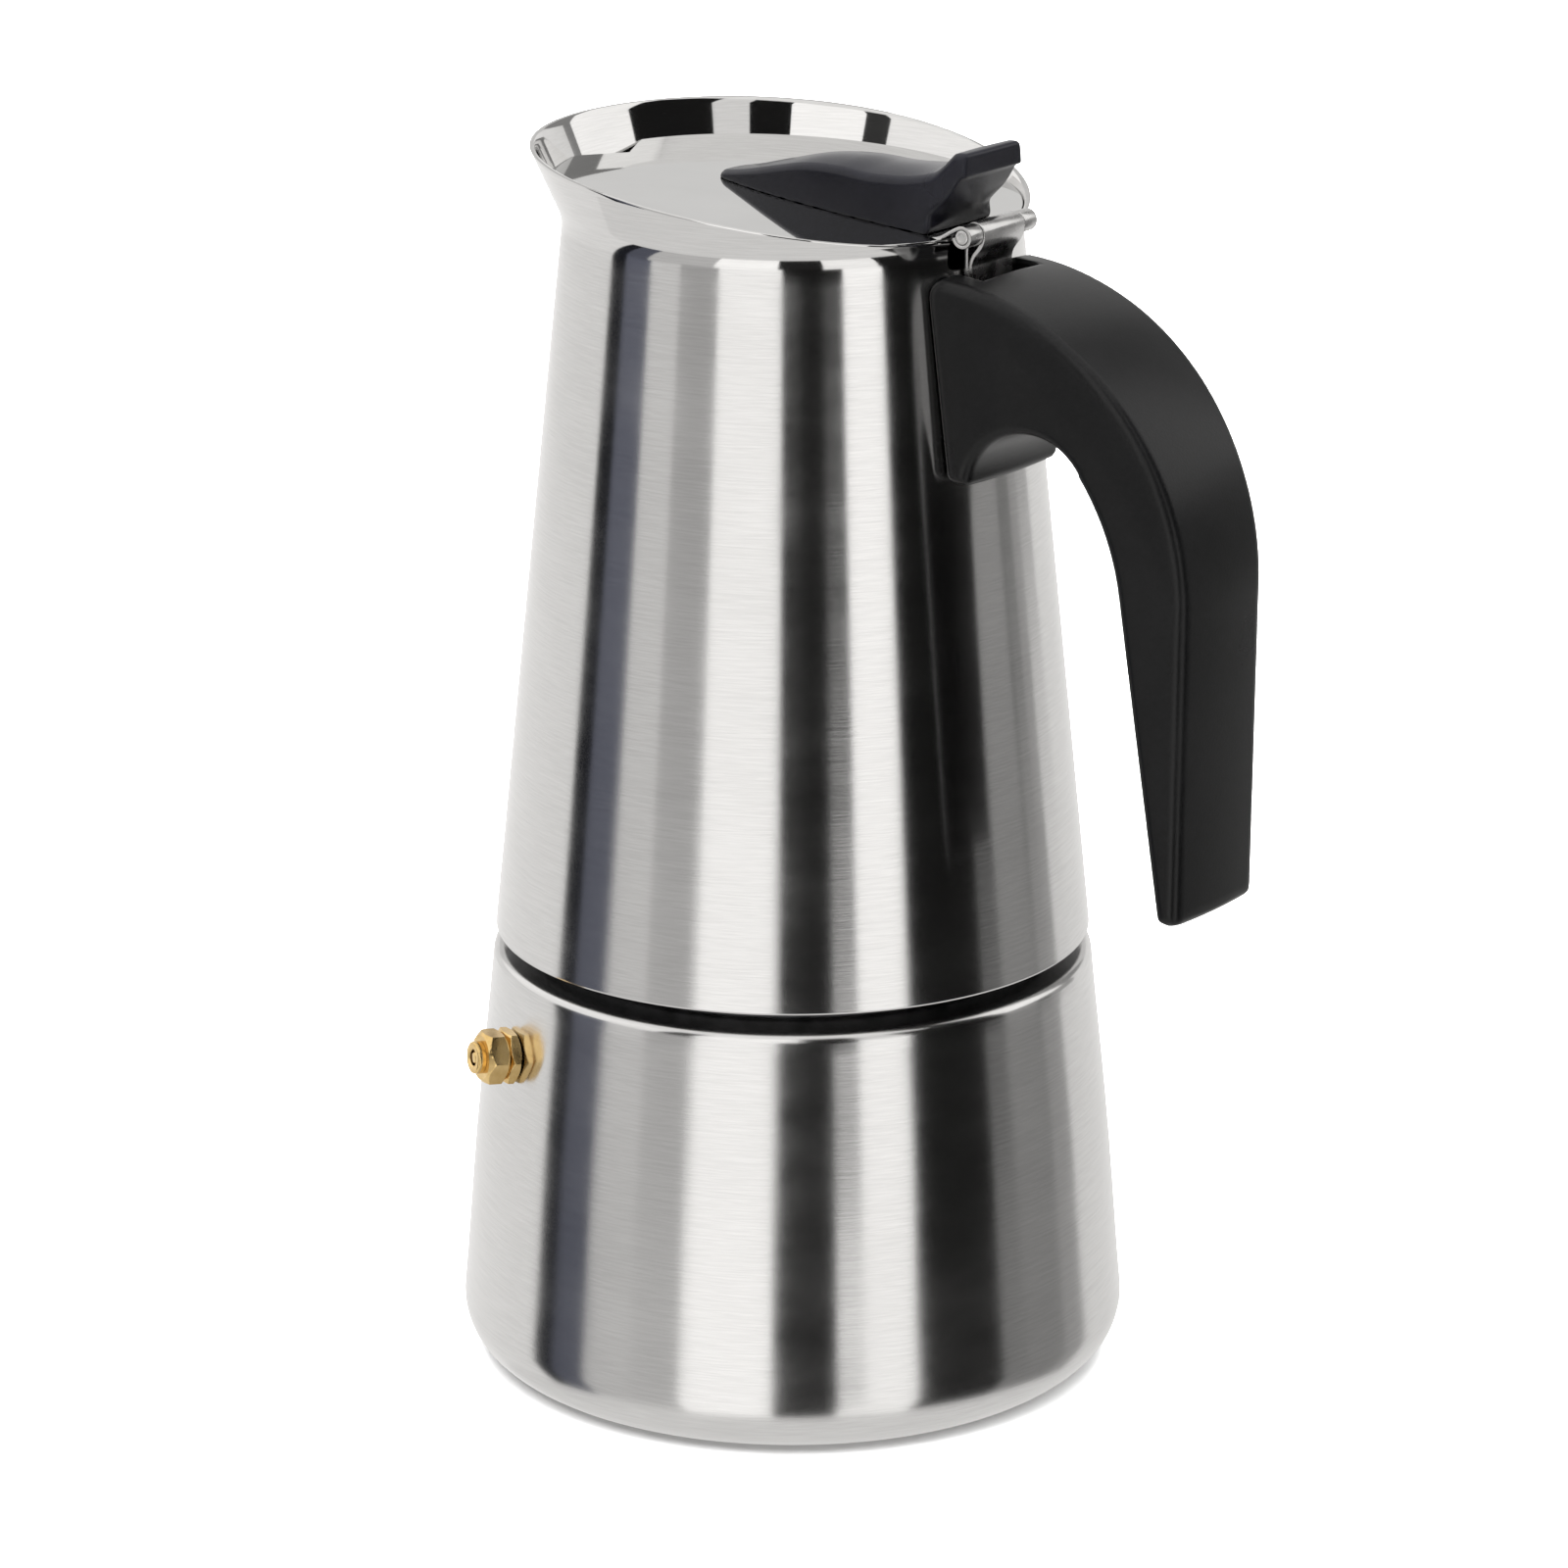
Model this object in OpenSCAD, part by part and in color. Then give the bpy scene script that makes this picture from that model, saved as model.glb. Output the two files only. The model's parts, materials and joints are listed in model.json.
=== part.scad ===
// Stovetop moka pot of stainless steel with a plastic handle and lid knob.
// Origin: centre of the underside, on the pot's axis. +Z up, handle towards +X, spout towards -X.

/* [Boiler] */
// Largest radius of the boiler, just above its rounded bottom
boiler_r = 50; // [48:0.5:52]
// Height of the shoulder of the boiler
boiler_h = 63.8; // [60:0.2:66]
// Radius of the rounded bottom edge
boiler_corner = 8; // [6:0.5:10]
// Radius of the boiler at its shoulder
shoulder_r = 44.9; // [44:0.1:46]
// Thickness of the drawn boiler sheet
boiler_wall = 0.8; // [0.6:0.1:1.2]
// Radius of the boiler's neck under its thread
neck_r = 37.6; // [37:0.1:37.8]
// Height of the lip of the boiler's neck
neck_top = 75; // [73:0.5:76]
// Pitch of the thread on the neck
thread_pitch = 3; // [2:0.5:3]

/* [Safety valve] */
// Bearing of the valve about the pot, anticlockwise from the handle
valve_bearing = 242.5; // [200:0.5:260]
// Height of the valve's axis where it meets the wall
valve_z = 52; // [44:0.5:54]
// Lean of the valve above level, square to the sloping wall
valve_lean = 5.3; // [0:0.1:8]

/* [Funnel and filters] */
// Outer radius of the coffee cup of the funnel
cup_r = 36.1; // [35:0.1:36.2]
// Height of the bottom of the coffee cup
cup_z = 52; // [50:1:56]
// Outer radius of the funnel's stem
stem_r = 5; // [4:0.5:6]
// Sheet thickness of the funnel
funnel_wall = 0.5; // [0.4:0.1:0.8]
// Radius of the small holes in the filter plates
hole_r = 0.6; // [0.5:0.1:0.8]
// Rings of holes in each filter plate
hole_rings = 6; // [4:1:7]

/* [Collector] */
// Radius of the collector's lower edge
collector_r = 44.4; // [44:0.1:44.8]
// Height of the collector's lower edge
collector_z = 66.7; // [66:0.1:68]
// Radius of the throat below the flared mouth
throat_r = 33.25; // [33:0.05:34]
// Height of the throat
throat_z = 173.6; // [172:0.2:175]
// Angle of the flared mouth from upright
flare_angle = 26.2; // [24:0.2:28]
// Height of the rim above the pot's axis
rim_z = 181.05; // [180:0.05:182]
// Fall of the rim towards the handle, per mm
rim_slope = 0.1484; // [0.13:0.001:0.16]
// Radius of the arched cut that trims the rim
rim_arch_r = 380; // [340:10:460]
// Sheet thickness of the collector
shell_wall = 0.7; // [0.6:0.1:0.8]

/* [Column] */
// Height of the top of the coffee column
column_top = 138; // [130:1:142]
// Outer radius of the column at its top
column_tip_r = 4.6; // [4:0.1:5]
// Outer radius of the column at its foot
column_foot_r = 8.8; // [8:0.1:9]

/* [Lid and hinge] */
// Height of the lid's top face above the pot's axis
lid_z = 177.35; // [177:0.05:178]
// Tilt of the lid, up towards the spout
lid_tilt = 3.75; // [3:0.05:4]
// Radius of the lid
lid_r = 33.95; // [33.5:0.05:34.1]
// Sheet thickness of the lid
lid_wall = 0.5; // [0.4:0.1:0.6]
// Distance of the hinge pin from the pot's axis
pin_x = 35.4; // [35.4:0.1:35.8]
// Height of the hinge pin
pin_z = 175.9; // [175.7:0.1:176.2]
// Radius of the hinge pin
pin_r = 1.05; // [1:0.05:1.1]
// Length of the hinge pin
pin_length = 16.6; // [16:0.1:17]
// Width of the hinge strap
strap_width = 10; // [9:0.5:10]

/* [Handle] */
// Reach of the handle from the pot's axis
handle_reach = 75; // [74:0.5:76]
// Height of the handle's tip
handle_tip_z = 82.2; // [80:0.2:90]
// Half width of the handle against the pot
handle_root_half = 12; // [11:0.5:12.5]
// Half width of the handle at its tip
handle_tip_half = 7.7; // [7:0.1:8.5]

/* [Knob] */
// Half width of the knob's rounded nose
knob_nose_r = 3.5; // [3:0.5:5]
// Half width of the knob beside the hinge
knob_rear_half = 8; // [7:0.1:8.2]

/* [Hidden] */
$fn = 96;
seat_gap = 0.05;
move_gap = 0.3;

// Slope of the collector's cone, radius lost per mm of height
cone_slope = (collector_r - throat_r) / (throat_z - collector_z);
flare_slope = tan(flare_angle);
flare_wall = shell_wall / cos(flare_angle);
// Slope of the boiler's side, and its radius at the valve
boiler_slope = (boiler_r - shoulder_r) / (boiler_h - boiler_corner);
valve_r = boiler_r - boiler_slope * (valve_z - boiler_corner);
valve_hole_r = 2.6;
hex_r = 4.3;

// Radius of the collector's outside at a height below the throat
function cone_r(z) = throat_r + cone_slope * (throat_z - z);
// Points along an arc in a plane
function arc(c, r, a0, a1, n = 8) =
    [for (i = [0:n]) c + r * [cos(a0 + (a1 - a0) * i / n), sin(a0 + (a1 - a0) * i / n)]];
// Points along a cubic curve
function curve(p, n = 8) =
    [for (i = [0:n]) let (t = i / n, s = 1 - t)
        s * s * s * p[0] + 3 * s * s * t * p[1] + 3 * s * t * t * p[2] + t * t * t * p[3]];

// Boiler: section, with its skin set in by an inset
shoulder_fillet = 1.5;
function boiler_section(inset, top) = concat(
    [[0, inset]],
    arc([boiler_r - boiler_corner, boiler_corner], boiler_corner - inset, -90, 0),
    arc([shoulder_r - shoulder_fillet, boiler_h - shoulder_fillet], shoulder_fillet - inset, 0, 90, 4),
    [[neck_r - inset, boiler_h - inset], [neck_r - inset, top], [0, top]]
);

module boiler() {
    color("silver")
    difference() {
        union() {
            rotate_extrude() polygon(boiler_section(0, neck_top));
            neck_thread();
        }
        rotate_extrude() polygon(boiler_section(boiler_wall, neck_top + 1));
        on_valve() translate([0, 0, -4]) cylinder(r = valve_hole_r, h = 8);
    }
}

// Ridges of the thread on the neck
module neck_thread() {
    ridge = 0.5;
    for (i = [0:2]) {
        z = boiler_h + 1.2 + i * thread_pitch;
        rotate_extrude()
            polygon([[neck_r - 0.2, z], [neck_r + ridge, z + 0.9], [neck_r - 0.2, z + 1.8]]);
    }
}

// Safety valve, built along +Z from the outside of the wall
module on_valve() {
    rotate([0, 0, valve_bearing])
        translate([valve_r, 0, valve_z])
            rotate([0, 90 - valve_lean, 0])
                rotate([0, 0, 30])
                    children();
}

module valve_nut() {
    color("goldenrod")
    on_valve()
    difference() {
        translate([0, 0, 0.1]) cylinder(r = hex_r, h = 1.7, $fn = 6);
        cylinder(r = valve_hole_r, h = 8, center = true);
    }
}

// Stepped brass body with a through bore for the plunger
valve_bore_r = 0.9;
spring_pocket_r = 1.9;
pocket_z = 3;
module valve_body() {
    color("gold")
    on_valve()
    difference() {
        union() {
            translate([0, 0, -5]) cylinder(r = valve_hole_r - 0.05, h = 7.2);
            translate([0, 0, 1.8]) cylinder(r = 3.6, h = 0.4);
            intersection() {
                translate([0, 0, 2.2]) cylinder(r = hex_r - 0.1, h = 3, $fn = 6);
                translate([0, 0, 2.2]) cylinder(r1 = 7.2, r2 = 3.6, h = 3.4);
            }
        }
        translate([0, 0, -6]) cylinder(r = valve_bore_r, h = 12);
        translate([0, 0, pocket_z]) cylinder(r = spring_pocket_r, h = 4);
    }
}

module valve_cap() {
    color("gold")
    on_valve()
    difference() {
        union() {
            translate([0, 0, 5.2]) cylinder(r = 2.4, h = 0.95);
            translate([0, 0, 6.15]) cylinder(r1 = 2.4, r2 = 2.05, h = 0.35);
        }
        translate([0, 0, 5]) cylinder(r = 1.2, h = 3);
    }
}

module valve_seal() {
    color("gray")
    on_valve()
    translate([0, 0, -boiler_wall - 1.35])
    difference() {
        cylinder(r = 4.2, h = 1);
        translate([0, 0, -1]) cylinder(r = valve_hole_r, h = 3);
    }
}

module valve_back_nut() {
    color("goldenrod")
    on_valve()
    translate([0, 0, -boiler_wall - 3.4])
    difference() {
        cylinder(r = hex_r, h = 2, $fn = 6);
        translate([0, 0, -1]) cylinder(r = valve_hole_r, h = 4);
    }
}

// Spring that presses the plunger inwards, drawn as its envelope
module valve_spring() {
    color("silver")
    on_valve()
    translate([0, 0, 3.8])
    difference() {
        cylinder(r = 1.6, h = 1.3);
        translate([0, 0, -1]) cylinder(r = 1.1, h = 4);
    }
}

// Plunger: pin through the body, with a collar under the spring
module valve_plunger() {
    color("goldenrod")
    on_valve() {
        translate([0, 0, -6.5]) cylinder(r = valve_bore_r - 0.05, h = 12.8);
        translate([0, 0, pocket_z + seat_gap]) cylinder(r = 1.6, h = 0.6);
    }
}

// Funnel: cup with a rim that rests on the lip, and a stem that reaches the water
module funnel() {
    stem_foot = 5;
    cone_z = cup_z - 8;
    rim_base = neck_top + seat_gap;
    rim_top = rim_base + 0.6;
    in_r = cup_r - funnel_wall;
    bore_r = stem_r - funnel_wall;
    color("lightgray")
    rotate_extrude()
    polygon([
        [stem_r, stem_foot],
        [stem_r, cone_z],
        [cup_r, cup_z],
        [cup_r, rim_base],
        [neck_r - 0.2, rim_base],
        [neck_r - 0.2, rim_top],
        [in_r, rim_top],
        [in_r, cup_z + 0.3],
        [bore_r, cone_z + 0.3],
        [bore_r, stem_foot]
    ]);
}

// Round plate with rings of small holes, in the plane
module perforated(r, reach) {
    step = reach / hole_rings;
    difference() {
        circle(r = r);
        circle(r = hole_r);
        for (ring = [1:hole_rings])
            for (i = [1:6 * ring])
                rotate(i * 60 / ring) translate([ring * step, 0]) circle(r = hole_r);
    }
}

module funnel_plate() {
    color("silver")
    translate([0, 0, cup_z + 0.4])
        linear_extrude(0.6) perforated(cup_r - funnel_wall - seat_gap, 31);
}

// Silicone gasket on the lip, around the filter plate
gasket_z = neck_top + 0.7;
gasket_in = 31.3;
gasket_h = 3;
module gasket() {
    color("white")
    translate([0, 0, gasket_z])
    difference() {
        cylinder(r = 38, h = gasket_h);
        translate([0, 0, -1]) cylinder(r = gasket_in, h = gasket_h + 2);
    }
}

module filter_plate() {
    plate_z = gasket_z + 0.6;
    plate_r = gasket_in - move_gap;
    color("silver") {
        translate([0, 0, plate_z]) linear_extrude(0.5) perforated(plate_r, 27);
        difference() {
            translate([0, 0, plate_z]) cylinder(r = plate_r, h = 2.4);
            translate([0, 0, plate_z - 1]) cylinder(r = plate_r - 0.5, h = 5);
        }
    }
}

// Collector shell: tapering skin that turns outwards into the flared mouth
skin_top = 190;
throat_bend = 5;
function skin(inset) = let (
    side = atan(cone_slope),
    bend = (side + flare_angle) / 2,
    back = throat_bend * tan(bend),
    r_throat = throat_r - inset,
    c = [r_throat + back * sin(side), throat_z - back * cos(side)]
        + throat_bend * [cos(side), sin(side)]
) concat(
    [[cone_r(collector_z) - inset, collector_z]],
    arc(c, throat_bend, 180 + side, 180 - flare_angle, 8),
    [[r_throat + flare_slope * (skin_top - throat_z), skin_top]]
);

module collector_shell() {
    notch_half = 7.5;
    notch_z = 170.5;
    arch_x = -rim_slope * rim_arch_r;
    arch_z = rim_z - rim_arch_r + rim_arch_r * rim_slope * rim_slope / 2;
    color("silver")
    difference() {
        intersection() {
            rotate_extrude() polygon(concat(skin(0), [[0, skin_top], [0, collector_z]]));
            translate([arch_x, 0, arch_z])
                rotate([90, 0, 0]) cylinder(r = rim_arch_r, h = 200, center = true, $fn = 720);
        }
        rotate_extrude()
            polygon(concat(
                [[0, collector_z - 1], [cone_r(collector_z - 1) - shell_wall, collector_z - 1]],
                skin(shell_wall),
                [[flare_slope * (skin_top - throat_z) + throat_r, skin_top + 2], [0, skin_top + 2]]
            ));
        translate([20, -notch_half, notch_z]) cube([30, 2 * notch_half, 20]);
    }
}

// Floor of the collector, welded inside the shell
floor_z = 79;
floor_wall = 0.7;
column_bore = 8;
module collector_floor() {
    flange_top = floor_z + 1.9;
    gap = shell_wall + seat_gap;
    color("lightgray")
    rotate_extrude()
    polygon([
        [column_bore, floor_z],
        [cone_r(floor_z) - gap, floor_z],
        [cone_r(flange_top) - gap, flange_top],
        [cone_r(flange_top) - gap - floor_wall, flange_top],
        [cone_r(floor_z) - gap - floor_wall, floor_z + floor_wall],
        [column_bore, floor_z + floor_wall]
    ]);
}

// Threaded ring that screws down over the boiler's neck
module thread_ring() {
    ring_in = neck_r + 0.9;
    ring_out = ring_in + 1.2;
    foot_z = collector_z + 0.2;
    foot_r = cone_r(foot_z + 0.7) - shell_wall - seat_gap;
    color("gray")
    rotate_extrude()
    polygon([
        [ring_in, foot_z],
        [foot_r, foot_z],
        [foot_r, foot_z + 0.7],
        [ring_out, foot_z + 0.7],
        [ring_out, floor_z - seat_gap],
        [ring_in, floor_z - seat_gap]
    ]);
}

// Column that carries the coffee up into the collector
column_foot_z = floor_z + floor_wall + seat_gap;
column_neck = 10;
module column() {
    wall = 0.7;
    foot_flange_r = column_foot_r + 0.6;
    color("lightgray")
    rotate_extrude()
    polygon([
        [column_foot_r - wall, column_foot_z],
        [foot_flange_r, column_foot_z],
        [foot_flange_r, column_foot_z + 0.6],
        [column_foot_r, column_foot_z + 0.6],
        [column_tip_r, column_top - column_neck],
        [column_tip_r, column_top],
        [column_tip_r - wall, column_top],
        [column_tip_r - wall, column_top - column_neck]
    ]);
}

// Cap over the column, with side slots for the coffee
module column_cap() {
    bore = column_tip_r + seat_gap;
    cap_r = bore + 0.7;
    base = column_top - 7;
    roof = column_top + 3;
    color("silver")
    difference() {
        union() {
            translate([0, 0, base]) cylinder(r = cap_r, h = roof - base);
            translate([0, 0, roof]) cylinder(r1 = cap_r, r2 = cap_r - 1.5, h = 1);
        }
        translate([0, 0, base - 1]) cylinder(r = bore, h = roof - base + 0.4);
        for (a = [0:120:240])
            rotate([0, 0, a + 30]) translate([0, -1.8, column_top + 0.1]) cube([cap_r + 1, 3.6, 2]);
    }
}

// Hinge strap: folded round the pin, both legs down the back of the shell
strap_wall = 0.6;
strap_foot = 152;
strap_join = 171;
strap_out = pin_r + strap_wall;
function leg_x(z, layers) = cone_r(z) + seat_gap + layers * strap_wall;
// Outside of the folded sheet, and the space inside its loop
function strap_outline() = concat(
    [[leg_x(strap_foot, 0), strap_foot], [leg_x(strap_join, 0), strap_join]],
    arc([pin_x, pin_z], strap_out, 180, 0, 12),
    curve([[pin_x + strap_out, pin_z], [pin_x + strap_out, pin_z - 2.5],
        [leg_x(strap_join, 2) + 0.2, strap_join + 2.5], [leg_x(strap_join, 2), strap_join]], 6),
    [[leg_x(strap_foot, 2), strap_foot]]
);
function strap_loop() = concat(
    [[leg_x(strap_join, 1), strap_join]],
    arc([pin_x, pin_z], pin_r + 0.02, 180, 0, 12),
    curve([[pin_x + pin_r, pin_z - 0.5], [pin_x + pin_r, pin_z - 2.5],
        [leg_x(strap_join, 1) + 0.4, strap_join + 2.5], [leg_x(strap_join, 1), strap_join]], 6)
);

module hinge_strap() {
    color("silver")
    translate([0, strap_width / 2, 0])
    rotate([90, 0, 0])
    linear_extrude(strap_width)
    difference() {
        polygon(strap_outline());
        polygon(strap_loop());
    }
}

module hinge_pin() {
    color("gainsboro")
    translate([pin_x, pin_length / 2, pin_z])
        rotate([90, 0, 0]) cylinder(r = pin_r, h = pin_length);
}

// Steel bracket on the strap's foot, with a tab that takes the handle's screw
screw_x = 46;
tab_z = 157;
tab_h = 1.8;
module handle_bracket() {
    half = 4.5;
    plate = 1.2;
    plate_top = 166;
    color("silver")
    difference() {
        translate([0, half, 0])
        rotate([90, 0, 0])
        linear_extrude(2 * half)
        union() {
            polygon([
                [leg_x(strap_foot, 2), strap_foot],
                [leg_x(strap_foot, 2) + plate, strap_foot],
                [leg_x(plate_top, 2) + plate, plate_top],
                [leg_x(plate_top, 2), plate_top]
            ]);
            translate([leg_x(tab_z, 2) + 0.4, tab_z]) square([screw_x + 4 - leg_x(tab_z, 2), tab_h]);
        }
        translate([screw_x, 0, tab_z - 1]) cylinder(r = 1.9, h = tab_h + 2);
    }
}

// Screw that holds the handle up against the bracket's tab
screw_head_z = 151;
module handle_screw() {
    head_h = 2;
    color("dimgray")
    translate([screw_x, 0, 0])
    difference() {
        union() {
            translate([0, 0, screw_head_z]) cylinder(r = 3.3, h = head_h);
            translate([0, 0, screw_head_z]) cylinder(r = 1.9, h = 11);
        }
        for (turn = [0, 90])
            rotate([0, 0, turn])
                translate([-2, -0.4, screw_head_z - 1]) cube([4, 0.8, 2]);
    }
}

// Handle: side outline of a rounded shoulder, a leg that tapers to a tip, and a root block
shoulder_c = [handle_reach - 42.7, 127.9];
shoulder_arc_r = 42.7;
leg_arc_c = [handle_reach - 47.3, 123.4];
leg_arc_r = 36;
arch_c = [48.6, 140.2];
arch_r = 9.4;
root_top = 170.6;
root_foot = 140.9;
function handle_outline() = concat(
    [[28, root_top]],
    arc(shoulder_c, shoulder_arc_r, 90, 0, 14),
    [
        [handle_reach - 0.4, handle_tip_z + 0.8],
        [handle_reach - 1, handle_tip_z],
        [handle_reach - 4.2, handle_tip_z],
        [handle_reach - 4.8, handle_tip_z + 0.8]
    ],
    arc(leg_arc_c, leg_arc_r, 8.5, 37.5, 8),
    arc(arch_c, arch_r, 34, 172, 14),
    [[39.2, root_foot], [28, root_foot]]
);

module handle() {
    half = handle_root_half;
    slot_half = 7;
    color("#202022")
    difference() {
        intersection() {
            translate([0, half, 0])
                rotate([90, 0, 0]) linear_extrude(2 * half) polygon(handle_outline());
            linear_extrude(200)
                polygon([
                    [20, -half], [40, -half], [76, -half + 2.4],
                    [76, half - 2.4], [40, half], [20, half]
                ]);
            rotate([90, 0, 90])
            linear_extrude(80)
                polygon([
                    [-handle_tip_half, handle_tip_z - 1],
                    [handle_tip_half, handle_tip_z - 1],
                    [handle_tip_half + 1.9, 130],
                    [half + 0.5, 150],
                    [half + 0.5, 180],
                    [-half - 0.5, 180],
                    [-half - 0.5, 150],
                    [-handle_tip_half - 1.9, 130]
                ]);
        }
        // Back face that follows the pot
        rotate_extrude()
            polygon([[0, 130], [cone_r(130) + seat_gap, 130], [cone_r(180) + seat_gap, 180], [0, 180]]);
        // Slot for the strap, pocket for the bracket's tab, and the screw's bore
        translate([30, -slot_half, 160]) cube([8, 2 * slot_half, 20]);
        translate([30, -strap_width / 2 - 0.3, strap_foot - 1]) cube([9, strap_width + 0.6, 20]);
        translate([30, -5, tab_z - 0.1]) cube([screw_x - 24, 10, 4]);
        translate([screw_x, 0, root_foot]) cylinder(r = 2.2, h = 22);
        translate([screw_x, 0, root_foot]) cylinder(r = 3.6, h = screw_head_z + 2.05 - root_foot);
    }
}

// Lid: tilted sheet in the mouth, with a pouring notch and two ears rolled round the pin
lid_x = -0.85;
ear_in = pin_r + 0.07;
ear_out = ear_in + 0.55;
module on_lid() {
    translate([0, 0, lid_z]) rotate([0, lid_tilt, 0]) children();
}

module lid() {
    notch_x = -30;
    notch_half = 9;
    strap_gap = strap_width / 2 + 0.15;
    ear_width = (pin_length - strap_width) / 2 - 0.2;
    color("whitesmoke") {
        on_lid()
        difference() {
            translate([lid_x, 0, -lid_wall]) cylinder(r1 = lid_r - 0.2, r2 = lid_r, h = lid_wall);
            translate([0, 0, -1])
                linear_extrude(2)
                    polygon([
                        [notch_x, 0],
                        [notch_x - notch_half, 2 * notch_half],
                        [notch_x - notch_half, -2 * notch_half]
                    ]);
            translate([31, -strap_gap, -1]) cube([6, 2 * strap_gap, 2]);
            for (x = screw_places) translate([x, 0, -1]) cylinder(r = 1.7, h = 2);
        }
        for (side = [-1, 1])
            translate([0, side * (strap_gap + ear_width / 2) + ear_width / 2, 0])
                rotate([90, 0, 0]) linear_extrude(ear_width) ear_section();
    }
}

// Rolled ear: from the lid's sheet, up over the pin and round under it
module ear_section() {
    foot_x = 29.2;
    foot = [foot_x, lid_z - foot_x * tan(lid_tilt) - 0.1];
    pin = [pin_x, pin_z];
    lift_off = 115;
    polygon(concat(
        curve([foot, foot + [3, -0.2], pin + [-3, ear_out + 0.3], pin + [0, ear_out]], 8),
        arc(pin, ear_out, 80, -165, 20),
        arc(pin, ear_in, -165, lift_off, 24),
        curve([pin + ear_in * [cos(lift_off), sin(lift_off)], pin + [-2, 0.6],
            foot + [3.1, -0.6], foot - [0, 0.3]], 8)
    ));
}

// Screws from under the lid into the knob
screw_places = [4, 18];
module knob_screws() {
    color("silver")
    on_lid()
    for (x = screw_places)
        translate([x, 0, 0]) {
            translate([0, 0, -lid_wall - 1.25]) cylinder(r = 2.8, h = 1.2);
            translate([0, 0, -lid_wall - 0.5]) cylinder(r = 1.5, h = 5);
        }
}

// Knob: low rounded nose that rises to a thumb ledge above the hinge
module knob() {
    nose_x = -12.3;
    rear_x = 28.9;
    ledge_x = 35;
    ledge_top = 187.4;
    foot_z = lid_z + seat_gap;
    color("#2a2b30")
    difference() {
        intersection() {
            translate([0, 20, 0])
            rotate([90, 0, 0])
            linear_extrude(40)
            polygon(concat(
                [[nose_x, 170]],
                curve([[nose_x, 178.3], [-6, 180], [2, 184.3], [14, 184.2]]),
                curve([[14, 184.2], [23, 184.1], [29, 184.6], [ledge_x - 1.2, ledge_top]]),
                [
                    [ledge_x, ledge_top - 0.6],
                    [ledge_x + 0.1, 184.2],
                    [ledge_x - 0.6, 183.8],
                    [rear_x, 175.2],
                    [rear_x, 170]
                ]
            ));
            linear_extrude(200)
            union() {
                translate([nose_x + knob_nose_r, 0]) circle(r = knob_nose_r);
                polygon([
                    [nose_x + knob_nose_r, -knob_nose_r],
                    [rear_x, -knob_rear_half],
                    [ledge_x + 1, -knob_rear_half + 0.6],
                    [ledge_x + 1, knob_rear_half - 0.6],
                    [rear_x, knob_rear_half],
                    [nose_x + knob_nose_r, knob_nose_r]
                ]);
            }
        }
        translate([0, 0, foot_z]) rotate([0, lid_tilt, 0]) translate([-50, -50, -20]) cube([120, 100, 20]);
        on_lid() for (x = screw_places) translate([x, 0, -1]) cylinder(r = 1.5 + seat_gap, h = 5.6);
    }
}

boiler();
valve_nut();
valve_body();
valve_cap();
valve_seal();
valve_back_nut();
valve_spring();
valve_plunger();
funnel();
funnel_plate();
gasket();
filter_plate();
collector_shell();
collector_floor();
thread_ring();
column();
column_cap();
hinge_strap();
hinge_pin();
handle_bracket();
handle_screw();
handle();
lid();
knob_screws();
knob();
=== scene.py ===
import json
import math

import bmesh
import bpy
import numpy as np
from mathutils import Matrix, Vector


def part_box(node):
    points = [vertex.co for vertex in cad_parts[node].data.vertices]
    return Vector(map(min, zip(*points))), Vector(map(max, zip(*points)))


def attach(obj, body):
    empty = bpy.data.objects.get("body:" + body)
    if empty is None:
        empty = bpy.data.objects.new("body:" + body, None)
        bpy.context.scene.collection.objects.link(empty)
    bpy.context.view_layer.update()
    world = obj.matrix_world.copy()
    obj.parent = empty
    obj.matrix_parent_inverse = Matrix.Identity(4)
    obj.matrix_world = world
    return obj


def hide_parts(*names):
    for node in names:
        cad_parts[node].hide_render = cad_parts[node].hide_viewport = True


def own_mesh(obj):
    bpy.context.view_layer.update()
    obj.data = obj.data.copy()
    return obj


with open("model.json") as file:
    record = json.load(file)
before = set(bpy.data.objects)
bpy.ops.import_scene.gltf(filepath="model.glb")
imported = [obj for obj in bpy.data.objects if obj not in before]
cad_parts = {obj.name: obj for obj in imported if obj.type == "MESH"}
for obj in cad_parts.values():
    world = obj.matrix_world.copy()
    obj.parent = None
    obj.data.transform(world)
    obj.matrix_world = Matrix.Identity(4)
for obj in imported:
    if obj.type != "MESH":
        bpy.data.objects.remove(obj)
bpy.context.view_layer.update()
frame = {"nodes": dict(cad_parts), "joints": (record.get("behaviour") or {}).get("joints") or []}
nodes = frame["nodes"]
joints = {j["name"]: j for j in frame["joints"]}

# Shapes are built in millimetres in the row frame and scaled once, in make()
MM = 0.001
WELD = 1e-4  # vertices nearer than this, in millimetres, become one
FLAT_CORNERS = 8  # a face with more corners than this is a flat cap, kept out of smooth shading


def span(node):
    """Lowest and highest corner of a CAD node, in millimetres."""
    low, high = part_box(node)
    return Vector(low) / MM, Vector(high) / MM


boiler_low, boiler_high = span("boiler")
shell_low, shell_high = span("collector_shell")
pin_low, pin_high = span("hinge_pin")
handle_high = span("handle")[1]
knob_low, knob_high = span("knob")
pin_x = (pin_low.x + pin_high.x) / 2
pin_z = (pin_low.z + pin_high.z) / 2
pin_r = (pin_high.x - pin_low.x) / 2


# ---------------------------------------------------------------- curves and solids

def arc(centre, r, start, end, n):
    """Points on an arc in a plane, angles in degrees."""
    angles = [math.radians(start + (end - start) * i / n) for i in range(n + 1)]
    return [(centre[0] + r * math.cos(a), centre[1] + r * math.sin(a)) for a in angles]


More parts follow.
